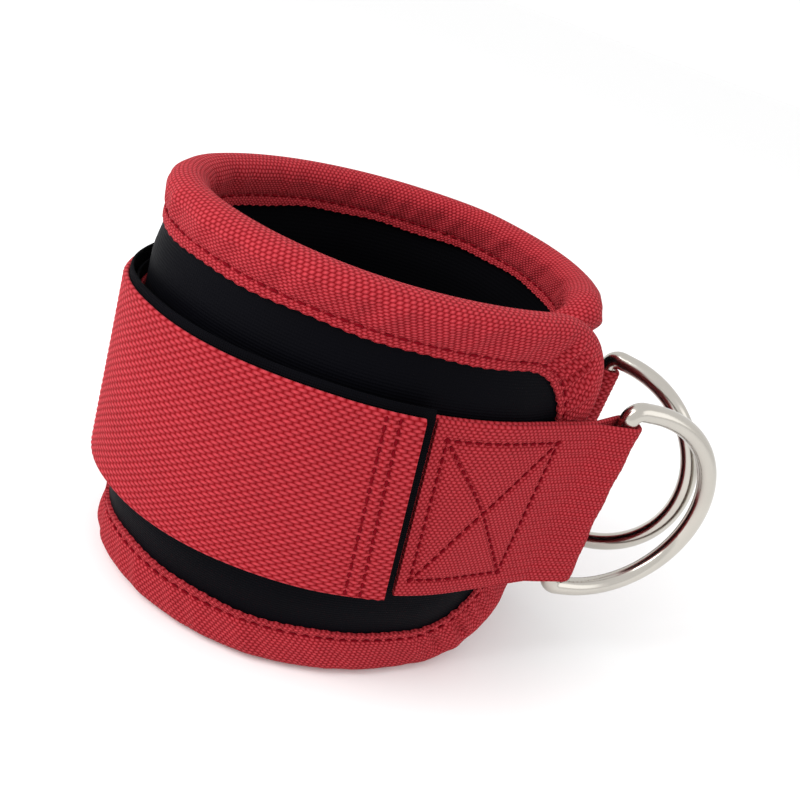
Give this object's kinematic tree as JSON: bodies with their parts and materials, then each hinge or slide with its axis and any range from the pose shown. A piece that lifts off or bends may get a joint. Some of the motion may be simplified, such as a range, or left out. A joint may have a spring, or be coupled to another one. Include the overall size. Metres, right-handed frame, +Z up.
{
  "type": "padded ankle cuff",
  "caption": "Padded ankle cuff with a bound edge, a hook-and-loop tail and a steel D-ring in a folded strap loop at each end, for a cable machine.",
  "frame": {"origin": "middle of the ankle opening, on the plane of the cuff's bottom edge", "axes": "+Z up along the ankle, +X from the ankle towards the D-rings, -Y the side where the tail ends"},
  "size_m": [0.1661, 0.113, 0.105],
  "materials": {
    "foam": "matt closed-cell foam",
    "black_neoprene": "smooth matt knitted face",
    "black_lining": "soft matt knitted face",
    "red_binding": "coarse plain weave",
    "red_webbing": "ribbed strap weave with a slight sheen",
    "black_pile": "hook and loop pile",
    "nickel": "bright nickel plate on steel",
    "red_thread": "bonded sewing thread"
  },
  "bodies": {
    "cuff": {"foam_core": "foam", "outer_cover": "black_neoprene", "inner_lining": "black_lining", "edge_binding": "red_binding", "base_webbing": "red_webbing", "loop_tape": "black_pile", "tail_root": "red_webbing", "binding_seam_outside": "red_thread", "binding_seam_inside": "red_thread", "front_box_stitching": "red_thread", "rear_box_stitching": "red_thread"},
    "front_ring": {"front_d_ring": "nickel"},
    "rear_ring": {"rear_d_ring": "nickel"},
    "tail_side": {"tail_mid": "red_webbing", "mid_hook_tape": "black_pile"},
    "tail_front": {"tail_end": "red_webbing", "end_hook_tape": "black_pile", "tail_tip_stitching": "red_thread"}
  },
  "joints": [
    {"name": "front_ring_swivel", "type": "hinge", "parent": "cuff", "child": "front_ring", "pos_m": [0.06818, -0.01199, 0.0555], "axis": [0, 0, 1], "range_deg": [-120, 1]},
    {"name": "rear_ring_swivel", "type": "hinge", "parent": "cuff", "child": "rear_ring", "pos_m": [0.0648, 0.021, 0.056], "axis": [0, 0, 1], "range_deg": [-1, 115]},
    {"name": "tail_side_peel", "type": "hinge", "parent": "cuff", "child": "tail_side", "pos_m": [-0.02688, 0.04698, 0.056], "axis": [0, 0, 1], "range_deg": [-60, 0]},
    {"name": "tail_front_peel", "type": "hinge", "parent": "tail_side", "child": "tail_front", "pos_m": [-0.0483, -0.04032, 0.056], "axis": [0, 0, 1], "range_deg": [-100, 0]}
  ],
  "couplings": [
    {"joint": "tail_side_peel", "follows": "tail_front_peel", "ratio": 0.6}
  ]
}
